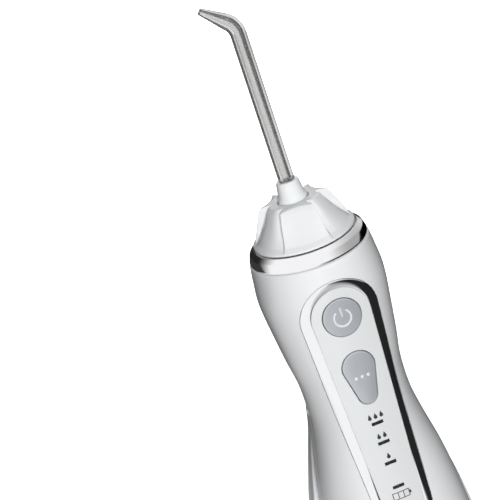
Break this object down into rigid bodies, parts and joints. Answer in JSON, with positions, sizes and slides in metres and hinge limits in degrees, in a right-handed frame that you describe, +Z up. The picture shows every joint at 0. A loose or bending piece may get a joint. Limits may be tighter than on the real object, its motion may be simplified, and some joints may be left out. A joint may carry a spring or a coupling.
{
  "type": "water flosser",
  "caption": "Cordless hand-held water flosser with keypad panel, turning nozzle knob, pull-off jet tip, inner pump drive and removable rear reservoir with a hinged fill door.",
  "frame": {"origin": "centre of the handle's base face, on the surface it stands on, under the nozzle axis", "axes": "+Z up along the nozzle axis, control panel faces -Y, reservoir at +Y, +X to the right of the panel"},
  "size_m": [0.064, 0.0886, 0.2976],
  "materials": {
    "white_gloss": "smooth gloss",
    "panel_gloss": "high gloss",
    "tank_white": "gloss, slightly milky",
    "chrome_trim": "mirror bright",
    "key_silver": "satin silver paint",
    "key_grey": "satin",
    "mark_black": "gloss",
    "ferrule_white": "satin",
    "tip_clear": "clear, smoke grey",
    "inner_white": "moulded",
    "hose_clear": "translucent",
    "seal_black": "matte",
    "seal_grey": "matte silicone",
    "valve_orange": "matte silicone",
    "pin_steel": "ground",
    "motor_steel": "rolled",
    "pinion_brass": "cut",
    "contact_gold": "plated",
    "port_grey": "fine texture",
    "board_green": "solder mask",
    "switch_black": "moulded",
    "cell_wrap": "shrink film",
    "lead_red": "insulation"
  },
  "bodies": {
    "handle": {"front_shell": "white_gloss", "rear_shell": "white_gloss", "chrome_ring": "chrome_trim", "panel_bezel": "chrome_trim", "control_panel": "panel_gloss", "keypad_membrane": "seal_grey", "circuit_board": "board_green", "tact_switches": "switch_black", "indicator_lights": "mark_black", "battery_cells": "cell_wrap", "battery_leads": "lead_red", "chassis": "inner_white", "motor_can": "motor_steel", "gear_axle": "pin_steel", "pump_cylinder": "inner_white", "pump_head": "inner_white", "inlet_valve": "valve_orange", "outlet_valve": "valve_orange", "suction_tube": "hose_clear", "outlet_hose": "hose_clear", "nozzle_seat": "inner_white", "port_spigot": "inner_white", "charge_port": "port_grey", "charging_contacts": "contact_gold", "housing_screws": "pin_steel", "base_cap": "white_gloss", "foot_pad": "seal_black", "eject_spring": "pin_steel"},
    "knob": {"rotator_knob": "white_gloss", "knob_rotor": "inner_white", "rotor_oring": "seal_black"},
    "tip": {"tip_ferrule": "ferrule_white", "tip_shank": "tip_clear", "tip_oring": "seal_black"},
    "power_key": {"power_button": "key_silver"},
    "mode_key": {"mode_button": "key_silver"},
    "eject_key": {"eject_button": "key_grey"},
    "motor_rotor": {"motor_shaft": "pin_steel", "motor_pinion": "pinion_brass"},
    "drive": {"drive_gear": "inner_white", "crank_pin": "pin_steel"},
    "piston": {"piston_yoke": "inner_white", "piston_seal": "seal_black"},
    "reservoir": {"reservoir_tank": "tank_white", "fill_neck": "white_gloss", "port_seal": "seal_grey", "intake_tube": "hose_clear", "intake_filter": "inner_white", "reservoir_feet": "seal_black", "door_hinge_pin": "pin_steel"},
    "door": {"fill_door": "white_gloss", "door_gasket": "seal_grey"}
  },
  "joints": [
    {"name": "knob_turn", "type": "hinge", "parent": "handle", "child": "knob", "pos_m": [0, 0, 0.212], "axis": [0, 0, 1], "continuous": true},
    {"name": "tip_pull", "type": "slide", "parent": "knob", "child": "tip", "axis": [0, 0, 1], "range_m": [0, 0.035]},
    {"name": "power_press", "type": "slide", "parent": "handle", "child": "power_key", "axis": [0, 0.9996, -0.0297], "range_m": [0, 0.0008], "stiffness_N_per_m": 500},
    {"name": "mode_press", "type": "slide", "parent": "handle", "child": "mode_key", "axis": [0, 0.9996, -0.0297], "range_m": [0, 0.0008], "stiffness_N_per_m": 500},
    {"name": "eject_press", "type": "slide", "parent": "handle", "child": "eject_key", "axis": [0, -1, 0], "range_m": [0, 0.0012], "stiffness_N_per_m": 500, "deforming": ["eject_spring"]},
    {"name": "gear_spin", "type": "hinge", "parent": "handle", "child": "drive", "pos_m": [0.006, -0.0045, 0.116], "axis": [1, 0, 0], "continuous": true},
    {"name": "motor_spin", "type": "hinge", "parent": "handle", "child": "motor_rotor", "pos_m": [0.006, -0.0045, 0.106], "axis": [1, 0, 0], "continuous": true},
    {"name": "piston_stroke", "type": "slide", "parent": "handle", "child": "piston", "axis": [0, 0, 1], "range_m": [-0.0015, 0.0015]},
    {"name": "reservoir_removal", "type": "slide", "parent": "handle", "child": "reservoir", "axis": [0, 1, 0], "range_m": [0, 0.08]},
    {"name": "door_open", "type": "hinge", "parent": "reservoir", "child": "door", "pos_m": [0, 0.03621, 0.12257], "axis": [1, 0, 0], "range_deg": [0, 100]}
  ],
  "couplings": [
    {"joint": "motor_spin", "follows": "gear_spin", "ratio": -3}
  ]
}
